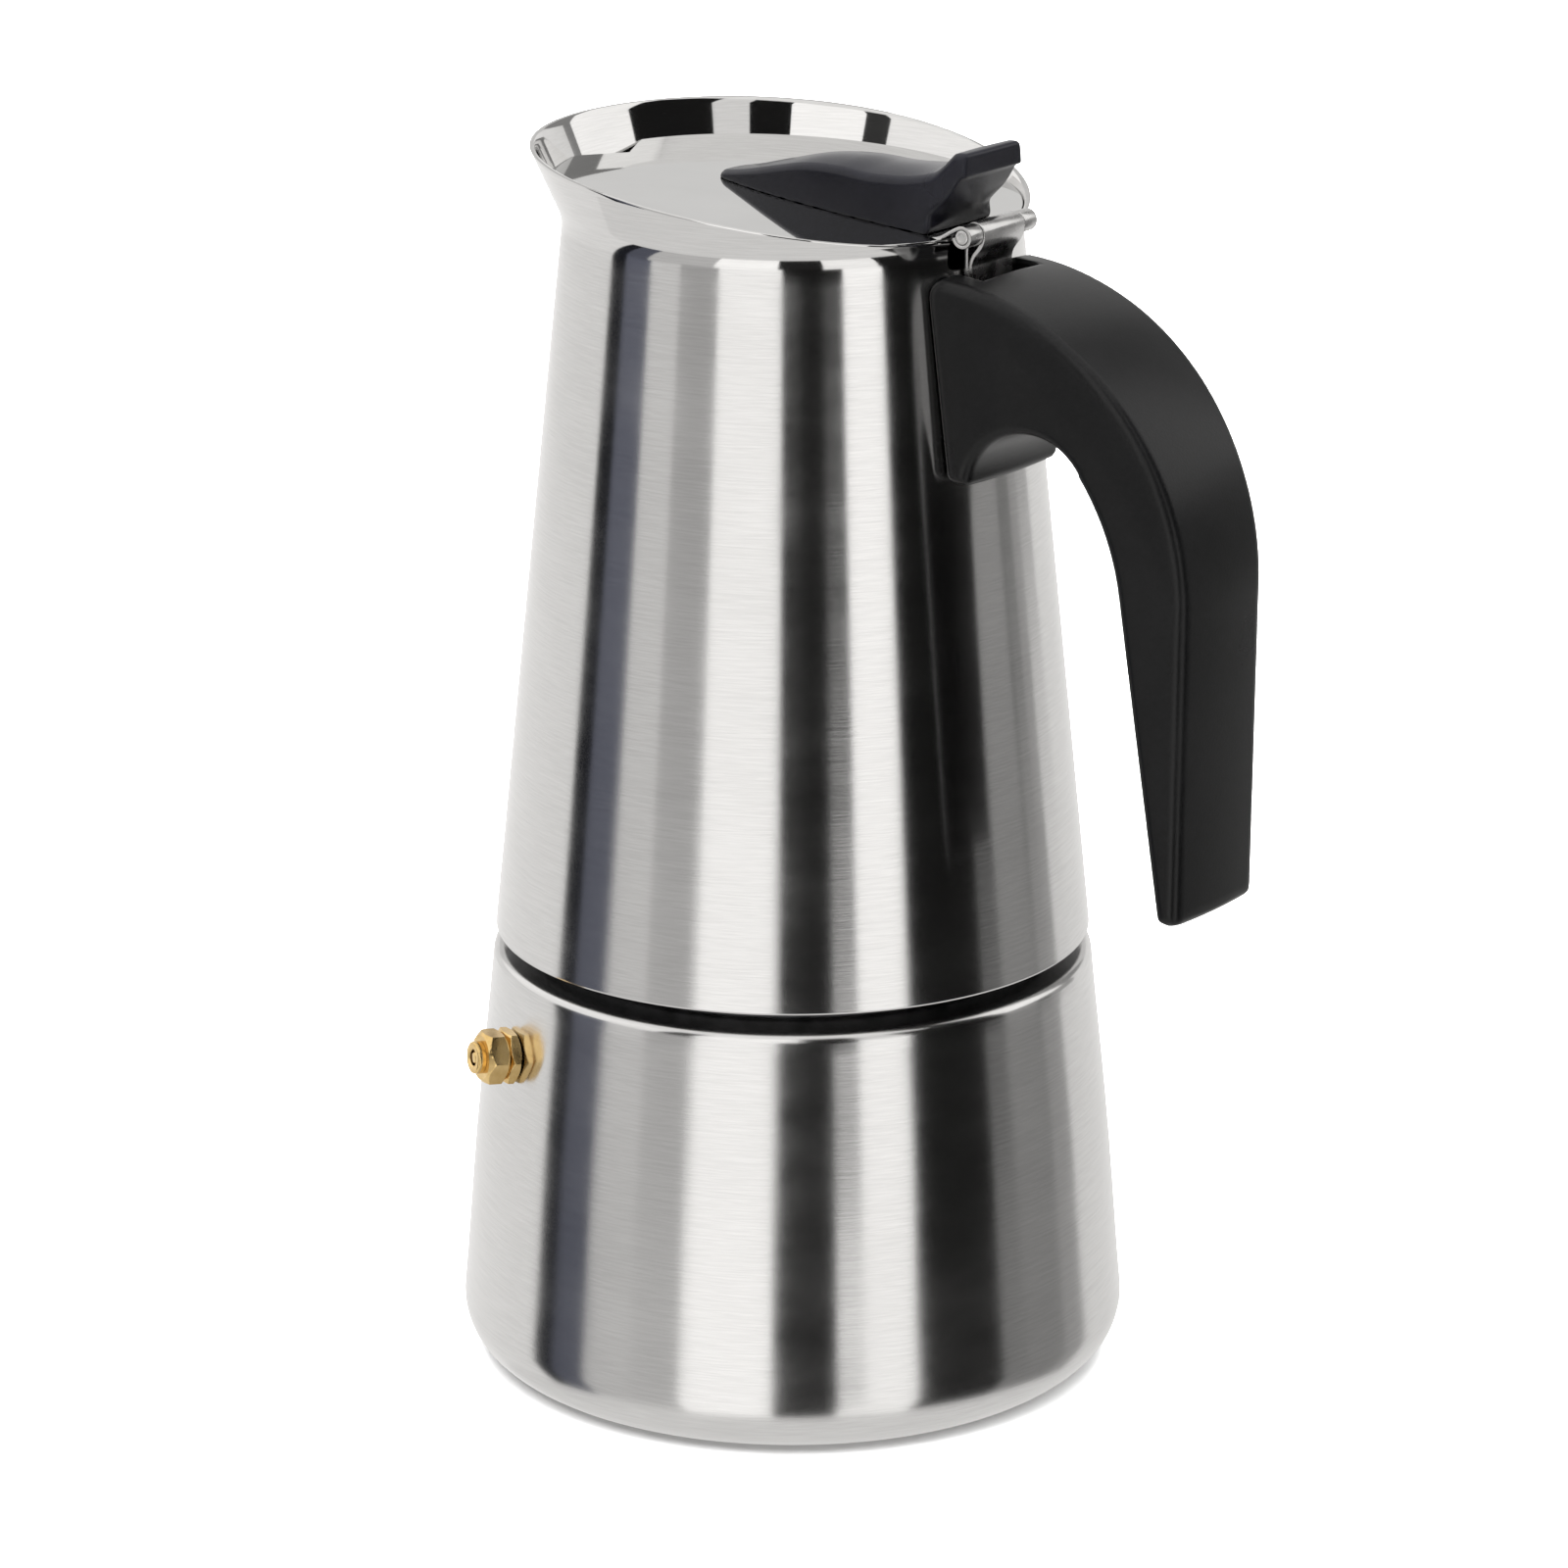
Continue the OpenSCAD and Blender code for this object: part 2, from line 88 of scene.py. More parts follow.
def bezier(a, b, c, d, n):
    """A cubic Bezier curve in a plane, in n steps."""
    out = []
    for i in range(n + 1):
        t = i / n
        s = 1 - t
        w = (s ** 3, 3 * s * s * t, 3 * s * t * t, t ** 3)
        out.append(tuple(sum(k * p[j] for k, p in zip(w, (a, b, c, d))) for j in (0, 1)))
    return out


def spline(points, n):
    """A smooth curve through points, n steps between each two."""
    p = [points[0], *points, points[-1]]
    out = []
    for k in range(1, len(p) - 2):
        for i in range(n):
            t = i / n
            out.append(tuple(
                0.5 * (2 * p[k][j] + (p[k + 1][j] - p[k - 1][j]) * t
                       + (2 * p[k - 1][j] - 5 * p[k][j] + 4 * p[k + 1][j] - p[k + 2][j]) * t * t
                       + (3 * p[k][j] - p[k - 1][j] - 3 * p[k + 1][j] + p[k + 2][j]) * t ** 3)
                for j in (0, 1)))
    return out + [tuple(points[-1])]


def make(name, mesh, body, material, replaces=(), place=None, sharp=32, bevel=0.0):
    """One visible piece from (vertices, faces) in millimetres.

    place moves it into the row frame. Edges turned by more than sharp degrees stay crisp,
    and a bevel, in millimetres, rounds them first.
    """
    verts, faces = mesh
    bm = bmesh.new()
    made = [bm.verts.new(v) for v in verts]
    for f in faces:
        try:
            bm.faces.new([made[i] for i in f])
        except ValueError:  # a face that is already there
            pass
    bmesh.ops.remove_doubles(bm, verts=bm.verts, dist=WELD)
    bmesh.ops.dissolve_degenerate(bm, dist=1e-5, edges=bm.edges)
    bmesh.ops.recalc_face_normals(bm, faces=bm.faces)
    if bevel:
        edges = [e for e in bm.edges if len(e.link_faces) == 2
                 and e.calc_face_angle(0) > math.radians(sharp)]
        bmesh.ops.bevel(bm, geom=edges, offset=bevel, segments=3, profile=0.5,
                        affect="EDGES", clamp_overlap=True)
    bmesh.ops.transform(bm, matrix=Matrix.Scale(MM, 4) @ (place or Matrix()), verts=bm.verts)
    for f in bm.faces:
        f.smooth = True
    for e in bm.edges:
        if len(e.link_faces) == 2 and e.calc_face_angle(0) > math.radians(sharp):
            e.smooth = False
    for f in bm.faces:
        if len(f.verts) > FLAT_CORNERS:
            for e in f.edges:
                e.smooth = False
    data = bpy.data.meshes.new(name)
    bm.to_mesh(data)
    bm.free()
    piece = bpy.data.objects.new(name, data)
    bpy.context.scene.collection.objects.link(piece)
    data.materials.append(material)
    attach(piece, body)
    if replaces:
        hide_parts(*replaces)
    return piece


def revolve(loop, n=192):
    """Turns a closed loop of (r, z) about Z. loop(angle) may change with the angle."""
    rows = [loop(2 * math.pi * i / n) for i in range(n)]
    m = len(rows[0])
    verts = [(r * math.cos(2 * math.pi * i / n), r * math.sin(2 * math.pi * i / n), z)
             for i, row in enumerate(rows) for r, z in row]
    faces = [(i * m + j, (i + 1) % n * m + j, (i + 1) % n * m + (j + 1) % m, i * m + (j + 1) % m)
             for i in range(n) for j in range(m)]
    return verts, faces


def join(*meshes):
    """Several (vertices, faces) as one."""
    verts, faces = [], []
    for v, f in meshes:
        faces += [tuple(i + len(verts) for i in face) for face in f]
        verts += list(v)
    return verts, faces


def moved(mesh, matrix):
    return [tuple(matrix @ Vector(v)) for v in mesh[0]], mesh[1]


def ribbon(path, thick, y0, y1, edge=0.1):
    """A bent strip of sheet: path is its middle line in the XZ plane."""
    section = []
    for sy, sn, start in ((1, 1, 0), (-1, 1, 90), (-1, -1, 180), (1, -1, 270)):
        cy = (y1 - y0) / 2 - edge
        cn = thick / 2 - edge
        section += arc((sy * cy, sn * cn), edge, start, start + 90, 3)
    mid = (y0 + y1) / 2
    verts = []
    for i, (x, z) in enumerate(path):
        a, b = path[max(i - 1, 0)], path[min(i + 1, len(path) - 1)]
        t = Vector((b[0] - a[0], b[1] - a[1])).normalized()
        nx, nz = -t.y, t.x
        verts += [(x + nx * n, mid + y, z + nz * n) for y, n in section]
    m = len(section)
    faces = [(i * m + j, i * m + (j + 1) % m, (i + 1) * m + (j + 1) % m, (i + 1) * m + j)
             for i in range(len(path) - 1) for j in range(m)]
    faces += [tuple(range(m)), tuple(range(len(verts) - m, len(verts)))]
    return verts, faces


# ---------------------------------------------------------------- moulded shapes from distance fields

def outline_distance(px, py, points):
    """Signed distance to a closed outline, negative inside."""
    px, py = np.broadcast_arrays(px, py)
    near = np.full(px.shape, 1e9)
    inside = np.zeros(px.shape, bool)
    for (ax, ay), (bx, by) in zip(points, points[1:] + points[:1]):
        ex, ey = bx - ax, by - ay
        wx, wy = px - ax, py - ay
        t = np.clip((wx * ex + wy * ey) / max(ex * ex + ey * ey, 1e-12), 0, 1)
        near = np.minimum(near, (wx - ex * t) ** 2 + (wy - ey * t) ** 2)
        if by != ay:
            inside ^= ((ay > py) != (by > py)) & (px < ex * (py - ay) / ey + ax)
    return np.where(inside, -1, 1) * np.sqrt(near)


def both(a, b, r):
    """Intersection of two fields with its edge rounded to radius r."""
    return np.minimum(-r, np.maximum(a, b)) + np.hypot(np.maximum(a + r, 0), np.maximum(b + r, 0))


def cut(a, b, r):
    """Field a less field b, with the new edge rounded to radius r."""
    return both(a, -b, r)


def smooth(x, a, b):
    """0 below a, 1 above b, with a soft step between."""
    t = np.clip((x - a) / (b - a), 0, 1)
    return t * t * (3 - 2 * t)


def moulded(field, low, high, step):
    """Quads on the zero surface of field(x, y, z), from a grid of that step.

    Each grid edge that the surface crosses gives one quad. Its corners are the middles of the
    crossings round each cell, which three Newton steps then bring onto the surface.
    """
    axes = [np.arange(low[k] - 2 * step, high[k] + 3 * step, step) for k in range(3)]
    shape = tuple(len(a) for a in axes)
    xs, ys, zs = axes
    v = np.broadcast_to(field(xs[:, None, None], ys[None, :, None], zs[None, None, :]), shape)
    s = v < 0
    total = np.zeros((np.prod(shape), 3))
    count = np.zeros(np.prod(shape), int)
    quads = []
    for a in range(3):
        b, c = (a + 1) % 3, (a + 2) % 3
        first = [slice(1, -1)] * 3
        second = [slice(1, -1)] * 3
        first[a], second[a] = slice(0, -1), slice(1, None)
        hit = np.argwhere(s[tuple(first)] != s[tuple(second)])
        hit += [0 if k == a else 1 for k in range(3)]
        other = hit.copy()
        other[:, a] += 1
        v0, v1 = v[tuple(hit.T)], v[tuple(other.T)]
        point = hit.astype(float)
        point[:, a] += v0 / (v0 - v1)
        cells = []
        for db, dc in ((0, 0), (-1, 0), (-1, -1), (0, -1)):
            cell = hit.copy()
            cell[:, b] += db
            cell[:, c] += dc
            flat = np.ravel_multi_index(tuple(cell.T), shape)
            np.add.at(total, flat, point)
            np.add.at(count, flat, 1)
            cells.append(flat)
        quad = np.array(cells).T
        quad[v0 > 0] = quad[v0 > 0][:, ::-1]
        quads.append(quad)
    used = np.flatnonzero(count)
    index = np.full(len(count), -1)
    index[used] = np.arange(len(used))
    p = total[used] / count[used][:, None] * step + [a[0] for a in axes]
    for _ in range(3):
        f = field(*p.T)
        rise = [field(*(p + step * 0.05 * np.eye(3)[k]).T)
                - field(*(p - step * 0.05 * np.eye(3)[k]).T) for k in range(3)]
        slope = np.array(rise).T / (step * 0.1)
        size = np.maximum((slope ** 2).sum(1), 0.2)
        p -= np.clip(f / size, -step, step)[:, None] * slope
    return [tuple(q) for q in p], [tuple(q) for q in index[np.concatenate(quads)]]


# ---------------------------------------------------------------- materials

WAVE_DEPTH = 0.00003  # metres, the slow waviness of pressed sheet and moulded plastic


def material(name, color, metallic, roughness, **more):
    """A Principled material. more sets other inputs by name, with _ for a space."""
    m = bpy.data.materials.new(name)
    m.use_nodes = True
    shader = m.node_tree.nodes["Principled BSDF"]
    shader.inputs["Base Color"].default_value = (*color, 1)
    shader.inputs["Metallic"].default_value = metallic
    shader.inputs["Roughness"].default_value = roughness
    for key, value in more.items():
        shader.inputs[key.replace("_", " ")].default_value = value
    return m


def add(m, kind, props=None, **ins):
    """A shader node. ins sets or links its inputs by name, or by number as _0, _1."""
    n = m.node_tree.nodes.new(kind)
    for key, value in (props or {}).items():
        setattr(n, key, value)
    for key, value in ins.items():
        socket = n.inputs[int(key[1:])] if key[1:].isdigit() else n.inputs[key.replace("_", " ")]
        if isinstance(value, bpy.types.NodeSocket):
            m.node_tree.links.new(value, socket)
        else:
            socket.default_value = value
    return n


def link(m, output, name):
    """Feeds an output into the named input of the material's shader."""
    m.node_tree.links.new(output, m.node_tree.nodes["Principled BSDF"].inputs[name])


def noise(m, scale, stretch=(1, 1, 1), detail=2.0, rough=0.5):
    """Noise in the piece's own frame; scale is in features per metre."""
    where = add(m, "ShaderNodeTexCoord").outputs["Object"]
    mapped = add(m, "ShaderNodeMapping", Vector=where, Scale=[scale * s for s in stretch])
    return add(m, "ShaderNodeTexNoise", Vector=mapped.outputs[0], Scale=1.0,
               Detail=detail, Roughness=rough).outputs["Fac"]


def ramp(m, value, low, high, a=0.0, b=1.0):
    """Maps low..high of a value to a..b."""
    return add(m, "ShaderNodeMapRange", Value=value, From_Min=low, From_Max=high,
               To_Min=a, To_Max=b).outputs["Result"]


def math_node(m, operation, a, b):
    return add(m, "ShaderNodeMath", {"operation": operation}, _0=a, _1=b).outputs[0]


def tint(m, factor, a, b):
    """Base colour between a and b."""
    n = add(m, "ShaderNodeMix", {"data_type": "RGBA"})
    m.node_tree.links.new(factor, n.inputs["Factor"])
    n.inputs[6].default_value = (*a, 1)
    n.inputs[7].default_value = (*b, 1)
    link(m, n.outputs[2], "Base Color")


def bump(m, layers):
    """Stacks (height, depth in metres) bumps on the shader's normal."""
    normal = None
    for height, depth in layers:
        n = add(m, "ShaderNodeBump", Height=height, Strength=1.0, Distance=depth)
        if normal is not None:
            m.node_tree.links.new(normal, n.inputs["Normal"])
        normal = n.outputs["Normal"]
    link(m, normal, "Normal")


def brushed(name, color, dark, roughness, line_depth, polish=None):
    """Sheet brushed round the Z axis. polish=(z0, z1) in metres fades to polished above."""
    m = material(name, color, 1.0, roughness, Anisotropic=0.85, Anisotropic_Rotation=0.25)
    tangent = add(m, "ShaderNodeTangent", {"direction_type": "RADIAL", "axis": "Z"})
    link(m, tangent.outputs[0], "Tangent")
    lines = noise(m, 1.0, (160, 160, 4200), 3.0, 0.7)
    long_lines = noise(m, 1.0, (38, 38, 1900), 2.0, 0.6)
    blotch = noise(m, 38, (1, 1, 2.2), 3.0, 0.6)
    wave = noise(m, 22, (1, 1, 0.6), 1.0, 0.4)
    rough = ramp(m, blotch, 0.3, 0.7, roughness * 0.86, roughness * 1.14)
    heights = [(wave, WAVE_DEPTH), (long_lines, line_depth * 0.8), (lines, line_depth)]
    if polish:
        where = add(m, "ShaderNodeTexCoord").outputs["Object"]
        height = add(m, "ShaderNodeSeparateXYZ", Vector=where).outputs["Z"]
        keep = ramp(m, height, polish[0], polish[1], 1.0, 0.12)
        rough = math_node(m, "MULTIPLY", rough, ramp(m, height, polish[0], polish[1], 1.0, 0.35))
        heights = [(wave, WAVE_DEPTH), (math_node(m, "MULTIPLY", long_lines, keep), line_depth * 0.8),
                   (math_node(m, "MULTIPLY", lines, keep), line_depth)]
    link(m, rough, "Roughness")
    shade = math_node(m, "ADD", math_node(m, "MULTIPLY", lines, 0.7),
                      math_node(m, "MULTIPLY", blotch, 0.3))
    tint(m, ramp(m, shade, 0.38, 0.62), dark, color)
    bump(m, heights)
    return m


def polished(name, color, dark, roughness):
    """Mirror-polished sheet with a faint haze and hairline scratches."""
    m = material(name, color, 1.0, roughness)
    haze = noise(m, 60, (1, 1, 1), 3.0, 0.6)
    scratch = noise(m, 1.0, (2600, 130, 400), 2.0, 0.7)
    link(m, ramp(m, math_node(m, "ADD", math_node(m, "MULTIPLY", haze, 0.7),
                              math_node(m, "MULTIPLY", scratch, 0.3)),
                 0.35, 0.65, roughness * 0.6, roughness * 1.5), "Roughness")
    tint(m, ramp(m, haze, 0.3, 0.7), dark, color)
    bump(m, [(noise(m, 30, (1, 1, 1), 1.0, 0.4), WAVE_DEPTH), (scratch, 0.0000006)])
    return m


def turned(name, color, dark, roughness):
    """Metal turned or drawn, with fine rings and a mottled tone."""
    m = material(name, color, 1.0, roughness)
    rings = noise(m, 1.0, (900, 900, 5200), 2.0, 0.6)
    mottle = noise(m, 240, (1, 1, 1), 4.0, 0.6)
    link(m, ramp(m, mottle, 0.3, 0.7, roughness * 0.7, roughness * 1.4), "Roughness")
    tint(m, ramp(m, mottle, 0.32, 0.66), dark, color)
    bump(m, [(mottle, 0.00002), (rings, 0.000006)])
    return m


def plastic(name, color, worn, roughness, grain, depth, gloss=0.2):
    """Moulded plastic or rubber with a grain of that depth, in metres."""
    m = material(name, color, 0.0, roughness, Specular_IOR_Level=gloss)
    fine = noise(m, grain, (1, 1, 1), 3.0, 0.65)
    cloud = noise(m, 55, (1, 1, 1), 3.0, 0.55)
    link(m, ramp(m, cloud, 0.3, 0.7, roughness * 0.9, roughness * 1.12), "Roughness")
    tint(m, ramp(m, math_node(m, "ADD", math_node(m, "MULTIPLY", fine, 0.5),
                              math_node(m, "MULTIPLY", cloud, 0.5)), 0.36, 0.68), color, worn)
    bump(m, [(cloud, WAVE_DEPTH), (fine, depth)])
    return m


steel_body = brushed("steel_body", (0.66, 0.655, 0.65), (0.6, 0.595, 0.59), 0.19, 0.000006)
steel_shell = brushed("steel_shell", (0.66, 0.655, 0.65), (0.6, 0.595, 0.59), 0.17, 0.000006,
                      polish=(0.1700, 0.1745))
steel_mirror = polished("steel_mirror", (0.77, 0.77, 0.765), (0.72, 0.72, 0.715), 0.035)
steel_small = turned("steel_small", (0.68, 0.675, 0.67), (0.52, 0.515, 0.51), 0.24)
steel_plain = turned("steel_plain", (0.56, 0.56, 0.555), (0.43, 0.43, 0.425), 0.36)
# Near-black steel for the boiler's neck and the threaded ring: painted shade for the shadowed gap under
# the collector, not the metal's own tone
neck_painted_shade = turned("neck_painted_shade", (0.16, 0.16, 0.165), (0.1, 0.1, 0.104), 0.42)
spring_wire = turned("spring_wire", (0.42, 0.42, 0.43), (0.3, 0.3, 0.31), 0.3)
brass = turned("brass", (0.83, 0.6, 0.27), (0.62, 0.41, 0.15), 0.16)
silicone = plastic("silicone", (0.78, 0.78, 0.75), (0.7, 0.7, 0.67), 0.55, 900, 0.00002)
black_grip = plastic("black_grip", (0.0014, 0.0014, 0.0015), (0.003, 0.003, 0.0032),
                     0.3, 2600, 0.000014, 0.22)
black_knob = plastic("black_knob", (0.0035, 0.0035, 0.005), (0.006, 0.006, 0.0085),
                     0.25, 1500, 0.000007, 0.22)

# CAD pieces that are shown as they are, with a finish of their own
for name, finish in {
    "funnel": steel_plain, "funnel_plate": steel_plain, "gasket": silicone, "filter_plate": steel_small,
    "collector_floor": steel_plain, "column": steel_small, "column_cap": steel_small,
    "handle_bracket": steel_plain, "handle_screw": steel_plain,
    "valve_seal": silicone, "valve_back_nut": brass,
}.items():
    nodes[name].data.materials.clear()
    nodes[name].data.materials.append(finish)


# ---------------------------------------------------------------- boiler

WALL = 0.8
CORNER_R = 8.0
BASE_R = min(boiler_high.y, -boiler_low.x)
SHOULDER_R, SHOULDER_Z = 44.9, 63.8
SIDE_BULGE = 0.25
FILLET = 1.5
NECK_R, LIP_Z = 37.6, boiler_high.z
PITCH = 3.0
THREAD_DEPTH, THREAD_START, THREAD_TURNS = 0.45, 65.9, 2.2
side_lean = math.atan((BASE_R - SHOULDER_R) / (SHOULDER_Z - CORNER_R))


def boiler_side(inset):
    """The cup's outline from its rounded bottom to its shoulder, inset by the wall or by 0."""
    lean = math.degrees(side_lean)
    bottom = arc((BASE_R - CORNER_R, CORNER_R), CORNER_R - inset, -90, lean, 16)
    top = arc((SHOULDER_R - FILLET - 0.08, SHOULDER_Z - FILLET), FILLET - min(inset, 1.2), lean, 90, 6)
    r0, z0 = bottom[-1]
    r1, z1 = top[0]
    side = [(r0 + (r1 - r0) * t + SIDE_BULGE * math.sin(math.pi * t) ** 2, z0 + (z1 - z0) * t)
            for t in [i / 24 for i in range(1, 24)]]
    return bottom + side + top


boiler_loop = (
    [(0, 0.5), (14, 0.5), (14.6, 0.05), (30, 0.0), (30.5, 0.25), (31.5, 0.25), (32, 0.0), (40, 0.0)]
    + boiler_side(0)
    + [(NECK_R + 0.7, SHOULDER_Z)] + arc((NECK_R + 0.6, SHOULDER_Z + 0.6), 0.6, 270, 180, 4)
    + [(NECK_R, LIP_Z - 0.4)] + arc((NECK_R - 0.4, LIP_Z - 0.4), 0.4, 0, 180, 8)
    + [(NECK_R - WALL, SHOULDER_Z - WALL)]
    + [(r, z - (WALL if z > SHOULDER_Z - 0.5 else 0)) for r, z in boiler_side(WALL)[::-1]]
    + [(0, WALL + 0.3)]
)


def thread(radius, height, z0, turns, taper=0.35):
    """A rolled thread ridge that winds up round the axis."""
    steps = int(turns * 120)
    flank = height * 0.75
    section = [(-0.25, -1.0), (flank, -0.35), (height, 0.0), (flank, 0.35), (-0.25, 1.0)]
    verts = []
    for i in range(steps + 1):
        t = i / steps * turns
        fade = min(1.0, t / taper, (turns - t) / taper)
        a = 2 * math.pi * t
        for dr, dz in section:
            r = radius + (dr if dr < 0 else dr * fade - 0.1 * (1 - fade))
            verts.append((r * math.cos(a), r * math.sin(a), z0 + PITCH * t + dz * 0.85))
    m = len(section)
    faces = [(i * m + j, (i + 1) * m + j, (i + 1) * m + (j + 1) % m, i * m + (j + 1) % m)
             for i in range(steps) for j in range(m)]
    faces += [tuple(range(m)), tuple(range(len(verts) - m, len(verts)))]
    return verts, faces


neck_thread = thread(NECK_R, THREAD_DEPTH, THREAD_START, THREAD_TURNS)
cup = make("boiler_cup", join(revolve(lambda a: boiler_loop, 256), neck_thread),
           "boiler", steel_body, ["boiler"])
# The neck above the shoulder takes the near-black steel, painted shade for the shadow in the gap under
# the collector
cup.data.materials.append(neck_painted_shade)
for face in cup.data.polygons:
    at = face.center / MM
    if at.z > SHOULDER_Z + 0.2 and math.hypot(at.x, at.y) < NECK_R + 1:
        face.material_index = 1

# ---------------------------------------------------------------- collector

SHELL_WALL = 0.7
FOOT_R, FOOT_Z = shell_high.y, shell_low.z
THROAT_R, THROAT_Z = 33.25, 173.6
THROAT_BEND = 5.5
FLARE = math.radians(26.2)
RIM_Z, RIM_SLOPE, RIM_ARCH = 181.03, 0.1484, 0.0013
BLEND_Z = 168.0  # the skin's rows are spaced evenly below it, and follow the rim above it
SPOUT_PULL = 0.085  # radius the spout loses for each millimetre above the throat
cone = math.atan((FOOT_R - THROAT_R) / (THROAT_Z - FOOT_Z))


def cone_r(z):
    """Outer radius of the collector's cone at a height."""
    return THROAT_R + math.tan(cone) * (THROAT_Z - z)


def skin_r(z, inset):
    """Radius of the skin at a height, through the rounded throat into the flare."""
    half = (cone + FLARE) / 2
    back = THROAT_BEND * math.tan(half)
    a = THROAT_Z - back * math.cos(cone)
    b = THROAT_Z + back * math.cos(FLARE)
    if z <= a:
        return cone_r(z) - inset / math.cos(cone)
    if z >= b:
        return THROAT_R + math.tan(FLARE) * (z - THROAT_Z) - inset / math.cos(FLARE)
    centre_r = cone_r(a) + THROAT_BEND * math.cos(cone)
    centre_z = a + THROAT_BEND * math.sin(cone)
    r = THROAT_BEND + inset
    return centre_r - math.sqrt(max(r * r - (z - centre_z) ** 2, 0))


def rim_z(angle):
    """Height of the mouth's edge, which rises to the spout. Found by a fixed-point loop."""
    z = RIM_Z
    for _ in range(12):
        x = skin_r(z, SHELL_WALL / 2) * math.cos(angle)
        z = RIM_Z - RIM_SLOPE * x - RIM_ARCH * x * x
    return z


def shell_loop(angle):
    """Section of the skin at an angle: out, over the lip, in and round the foot."""
    top = rim_z(angle)
    pull = SPOUT_PULL * max(0.0, -math.cos(angle)) ** 2

    def at(z, inset):
        return skin_r(z, inset) - pull * max(0.0, z - THROAT_Z)

    low = [FOOT_Z + 0.25 + (BLEND_Z - FOOT_Z - 0.25) * i / 30 for i in range(31)]
    high = [BLEND_Z + (top - 0.25 - BLEND_Z) * i / 24 for i in range(1, 25)]
    outer = [(at(z, 0), z) for z in low + high]
    inner = [(at(z, SHELL_WALL), z) for z in (low + high)[::-1]]
    lip = [(at(top - 0.1, 0.06), top - 0.1), (at(top, SHELL_WALL / 2), top),
           (at(top - 0.1, SHELL_WALL - 0.06), top - 0.1)]
    foot = [(at(FOOT_Z, SHELL_WALL - 0.15), FOOT_Z), (at(FOOT_Z, 0.15), FOOT_Z)]
    return outer + lip + inner + foot


shell = make("collector_skin", revolve(shell_loop, 288), "collector", steel_shell,
             ["collector_shell"])

# The mouth's edge is notched at the hinge, by a block that is removed again
NOTCH_HALF, NOTCH_Z, NOTCH_R = 7.5, 170.5, 1.2
BLOCK_NEAR, BLOCK_FAR, BLOCK_TOP = 20, 45, NOTCH_Z + 20
notch = [(-NOTCH_HALF, BLOCK_TOP),
         *arc((-NOTCH_HALF + NOTCH_R, NOTCH_Z + NOTCH_R), NOTCH_R, 180, 270, 6),
         *arc((NOTCH_HALF - NOTCH_R, NOTCH_Z + NOTCH_R), NOTCH_R, 270, 360, 6),
         (NOTCH_HALF, BLOCK_TOP)]
bm = bmesh.new()
near = [bm.verts.new((BLOCK_NEAR * MM, y * MM, z * MM)) for y, z in notch]
far = [bm.verts.new((BLOCK_FAR * MM, y * MM, z * MM)) for y, z in notch]
for i in range(len(notch)):
    j = (i + 1) % len(notch)
    bm.faces.new((near[i], near[j], far[j], far[i]))
bm.faces.new(near)
bm.faces.new(far[::-1])
bmesh.ops.recalc_face_normals(bm, faces=bm.faces)
cutter_mesh = bpy.data.meshes.new("cutter")
bm.to_mesh(cutter_mesh)
bm.free()
cutter = bpy.data.objects.new("cutter", cutter_mesh)
bpy.context.scene.collection.objects.link(cutter)
notching = shell.modifiers.new("notch", "BOOLEAN")
notching.operation = "DIFFERENCE"
notching.solver = "EXACT"
notching.object = cutter
bpy.context.view_layer.update()
notched = shell.evaluated_get(bpy.context.evaluated_depsgraph_get())
notched_mesh = bpy.data.meshes.new_from_object(notched)
shell.modifiers.clear()
shell.data = notched_mesh
bpy.data.objects.remove(cutter)

RING_IN, RING_OUT = NECK_R + 0.9, NECK_R + 2.1
RING_ROWS = 66
GROOVE = 0.55
ring_low, ring_high = span("thread_ring")


def ring_loop(angle):
    """Section of the threaded ring at an angle, with the groove that winds up its inside."""
    inside = []
    for i in range(RING_ROWS + 1):
        z = ring_high.z - (ring_high.z - ring_low.z) * i / RING_ROWS
        turn = ((z - ring_low.z) / PITCH - angle / (2 * math.pi)) % 1.0
        groove = max(0.0, math.cos(2 * math.pi * turn)) ** 0.8
        ends = min(1.0, (z - ring_low.z) / 1.5, (ring_high.z - z) / 1.5)
        inside.append((RING_IN + GROOVE * groove * ends, z))
    foot = ring_high.y
    outside = [(foot, ring_low.z), (foot - 0.1, ring_low.z + 0.7), (RING_OUT, ring_low.z + 0.7),
               (RING_OUT, ring_high.z)]
    return inside + outside


# The ring takes the same near-black steel, painted shade for the shadowed gap it is seen through
make("threaded_ring", revolve(ring_loop, 192), "collector", neck_painted_shade,
     ["thread_ring"])

# ---------------------------------------------------------------- hinge

STRAP = 0.65
STRAP_FOOT, STRAP_JOIN = 158.0, 171.0


def leg_x(z, layer):
    """X of the strap's legs against the skin, layer thicknesses of strap out from it."""
    return cone_r(z) + 0.1 + STRAP * layer


strap_r = pin_r + 0.02 + STRAP / 2
leg_z = [STRAP_FOOT + (STRAP_JOIN - STRAP_FOOT) * i / 6 for i in range(7)]
strap_path = (
    [(leg_x(z, 0.5), z) for z in leg_z]
    + bezier((leg_x(STRAP_JOIN, 0.5), STRAP_JOIN), (leg_x(STRAP_JOIN, 0.5) - 0.1, STRAP_JOIN + 2),
             (pin_x - strap_r, pin_z - 2), (pin_x - strap_r, pin_z), 8)[1:]
    + arc((pin_x, pin_z), strap_r, 180, 0, 24)[1:]
    + bezier((pin_x + strap_r, pin_z), (pin_x + strap_r, pin_z - 2.6),
             (leg_x(STRAP_JOIN, 1.7) + 0.1, STRAP_JOIN + 2.4),
             (leg_x(STRAP_JOIN, 1.6), STRAP_JOIN), 14)[1:]
    + [(leg_x(STRAP_FOOT, 1.6), STRAP_FOOT)]
)
strap_low, strap_high = span("hinge_strap")
make("strap", ribbon(strap_path, STRAP, strap_low.y, strap_high.y), "collector", steel_small,
     ["hinge_strap"])

